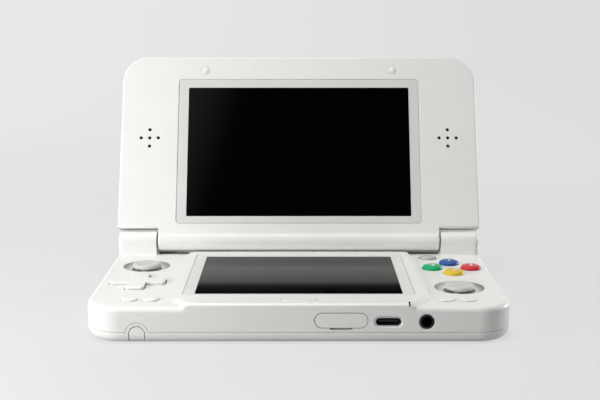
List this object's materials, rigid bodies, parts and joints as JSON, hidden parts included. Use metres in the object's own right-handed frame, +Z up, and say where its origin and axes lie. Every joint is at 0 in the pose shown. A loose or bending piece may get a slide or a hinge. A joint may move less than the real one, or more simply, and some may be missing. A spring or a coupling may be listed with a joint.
{
  "type": "clamshell handheld game console",
  "caption": "Clamshell handheld game console standing open: hinged lid with a wide screen and speakers, base with touch screen, slide pads, cross, coloured buttons, ports and stylus.",
  "frame": {"origin": "middle of the flat underside of the base, on the surface it stands on", "axes": "+X to the player's right along the lid hinge, +Y from the player to the hinge side, +Z up out of the deck"},
  "size_m": [0.142, 0.109, 0.0872],
  "materials": {
    "white_shell": "satin moulded, warm white",
    "white_controls": "satin moulded, warm white",
    "screen_frame": "fine matt, pale grey",
    "black_glass": "polished, black backed",
    "display_module": "dark film",
    "board": "solder resist",
    "tinned_steel": "tinned sheet",
    "steel": "turned",
    "battery_wrap": "film wrap",
    "black_plastic": "moulded",
    "membrane_rubber": "moulded silicone",
    "dark_plastic": "moulded",
    "pad_grey": "fine matt",
    "nub_rubber": "smooth",
    "button_red": "polished",
    "button_blue": "polished",
    "button_green": "polished",
    "button_yellow": "polished",
    "bumper_rubber": "smooth",
    "flex_film": "polyimide film"
  },
  "bodies": {
    "base": {"base_top_cover": "white_shell", "base_bottom_cover": "white_shell", "base_screws": "steel", "lower_screen_frame": "screen_frame", "lower_screen_glass": "black_glass", "lower_display": "display_module", "main_board": "board", "processor_shield": "tinned_steel", "battery": "battery_wrap", "stylus_tube": "tinned_steel", "usb_port_shell": "tinned_steel", "usb_port_tongue": "black_plastic", "audio_jack": "black_plastic", "card_reader": "tinned_steel", "card_door_strap": "bumper_rubber", "microphone": "black_plastic", "left_button_membrane": "membrane_rubber", "right_button_membrane": "membrane_rubber", "home_switch": "dark_plastic", "shoulder_switches": "dark_plastic", "left_pad_housing": "dark_plastic", "right_pad_housing": "dark_plastic", "hinge_clutch_shaft": "steel", "hinge_pin": "steel", "shoulder_pins": "steel"},
    "lid": {"lid_outer_cover": "white_shell", "lid_bezel": "white_shell", "upper_screen_frame": "screen_frame", "upper_screen_glass": "black_glass", "upper_display": "display_module", "left_speaker": "black_plastic", "right_speaker": "black_plastic", "lid_bumpers": "bumper_rubber", "lid_screws": "steel", "hinge_clutch": "steel", "hinge_bush": "steel", "display_ribbon": "flex_film"},
    "left_carriage": {"left_pad_carriage": "dark_plastic"},
    "left_pad": {"left_pad_cap": "pad_grey"},
    "right_carriage": {"right_pad_carriage": "dark_plastic"},
    "right_pad": {"right_pad_cap": "pad_grey"},
    "rocker": {"cross_rocker": "dark_plastic"},
    "cross": {"direction_cross": "white_controls"},
    "green_button": {"left_face_button": "button_green"},
    "blue_button": {"back_face_button": "button_blue"},
    "red_button": {"right_face_button": "button_red"},
    "yellow_button": {"front_face_button": "button_yellow"},
    "left_outer": {"left_outer_button": "white_controls"},
    "left_inner": {"left_inner_button": "white_controls"},
    "right_inner": {"right_inner_button": "white_controls"},
    "right_outer": {"right_outer_button": "white_controls"},
    "home": {"home_button": "white_controls"},
    "nub_plate": {"nub_sensor_plate": "steel"},
    "nub": {"pointing_nub": "nub_rubber"},
    "left_shoulder": {"left_shoulder_button": "white_controls"},
    "right_shoulder": {"right_shoulder_button": "white_controls"},
    "door": {"card_door": "white_controls"},
    "stylus": {"stylus": "white_controls"},
    "volume": {"volume_slider": "pad_grey"}
  },
  "joints": [
    {"name": "lid_hinge", "type": "hinge", "parent": "base", "child": "lid", "pos_m": [0, 0.03588, 0.0172], "axis": [-1, 0, 0], "range_deg": [-113.9, 41.1]},
    {"name": "left_pad_y", "type": "slide", "parent": "base", "child": "left_carriage", "axis": [0, 1, 0], "range_m": [-0.0022, 0.0022], "stiffness_N_per_m": 60},
    {"name": "left_pad_x", "type": "slide", "parent": "left_carriage", "child": "left_pad", "axis": [1, 0, 0], "range_m": [-0.0022, 0.0022], "stiffness_N_per_m": 60},
    {"name": "right_pad_y", "type": "slide", "parent": "base", "child": "right_carriage", "axis": [0, 1, 0], "range_m": [-0.0022, 0.0022], "stiffness_N_per_m": 60},
    {"name": "right_pad_x", "type": "slide", "parent": "right_carriage", "child": "right_pad", "axis": [1, 0, 0], "range_m": [-0.0022, 0.0022], "stiffness_N_per_m": 60},
    {"name": "cross_pitch", "type": "hinge", "parent": "base", "child": "rocker", "pos_m": [-0.057, -0.00825, 0.00907], "axis": [1, 0, 0], "range_deg": [-2.6, 2.6], "stiffness_Nm_per_rad": 0.05},
    {"name": "cross_roll", "type": "hinge", "parent": "rocker", "child": "cross", "pos_m": [-0.057, -0.00825, 0.00907], "axis": [0, 1, 0], "range_deg": [-2.6, 2.6], "stiffness_Nm_per_rad": 0.05},
    {"name": "green_press", "type": "slide", "parent": "base", "child": "green_button", "axis": [0, 0, -1], "range_m": [0, 0.0009], "stiffness_N_per_m": 400},
    {"name": "blue_press", "type": "slide", "parent": "base", "child": "blue_button", "axis": [0, 0, -1], "range_m": [0, 0.0009], "stiffness_N_per_m": 400},
    {"name": "red_press", "type": "slide", "parent": "base", "child": "red_button", "axis": [0, 0, -1], "range_m": [0, 0.0009], "stiffness_N_per_m": 400},
    {"name": "yellow_press", "type": "slide", "parent": "base", "child": "yellow_button", "axis": [0, 0, -1], "range_m": [0, 0.0009], "stiffness_N_per_m": 400},
    {"name": "left_outer_press", "type": "slide", "parent": "base", "child": "left_outer", "axis": [0, 0, -1], "range_m": [0, 0.0004], "stiffness_N_per_m": 400},
    {"name": "left_inner_press", "type": "slide", "parent": "base", "child": "left_inner", "axis": [0, 0, -1], "range_m": [0, 0.0004], "stiffness_N_per_m": 400},
    {"name": "right_inner_press", "type": "slide", "parent": "base", "child": "right_inner", "axis": [0, 0, -1], "range_m": [0, 0.0004], "stiffness_N_per_m": 400},
    {"name": "right_outer_press", "type": "slide", "parent": "base", "child": "right_outer", "axis": [0, 0, -1], "range_m": [0, 0.0004], "stiffness_N_per_m": 400},
    {"name": "home_press", "type": "slide", "parent": "base", "child": "home", "axis": [0, 0, -1], "range_m": [0, 0.0004], "stiffness_N_per_m": 400},
    {"name": "nub_pitch", "type": "hinge", "parent": "base", "child": "nub_plate", "pos_m": [0.0497, 0.02728, 0.0096], "axis": [1, 0, 0], "range_deg": [-3, 3], "stiffness_Nm_per_rad": 0.05},
    {"name": "nub_roll", "type": "hinge", "parent": "nub_plate", "child": "nub", "pos_m": [0.0497, 0.02728, 0.0096], "axis": [0, 1, 0], "range_deg": [-3, 3], "stiffness_Nm_per_rad": 0.05},
    {"name": "left_shoulder_press", "type": "hinge", "parent": "base", "child": "left_shoulder", "pos_m": [-0.0571, 0.03665, 0.00755], "axis": [0, 0, 1], "range_deg": [0, 3.5], "stiffness_Nm_per_rad": 0.1},
    {"name": "right_shoulder_press", "type": "hinge", "parent": "base", "child": "right_shoulder", "pos_m": [0.0571, 0.03665, 0.00755], "axis": [0, 0, -1], "range_deg": [0, 3.5], "stiffness_Nm_per_rad": 0.1},
    {"name": "card_door_hinge", "type": "hinge", "parent": "base", "child": "door", "pos_m": [0.01395, -0.03975, 0.0103], "axis": [-1, 0, 0], "range_deg": [0, 95], "stiffness_Nm_per_rad": 0.0004, "springref_deg": -5.73},
    {"name": "stylus_slide", "type": "slide", "parent": "base", "child": "stylus", "axis": [0, -1, 0], "range_m": [0, 0.066]},
    {"name": "volume_slide", "type": "slide", "parent": "base", "child": "volume", "axis": [0, 1, 0], "range_m": [-0.0035, 0.0035]}
  ]
}
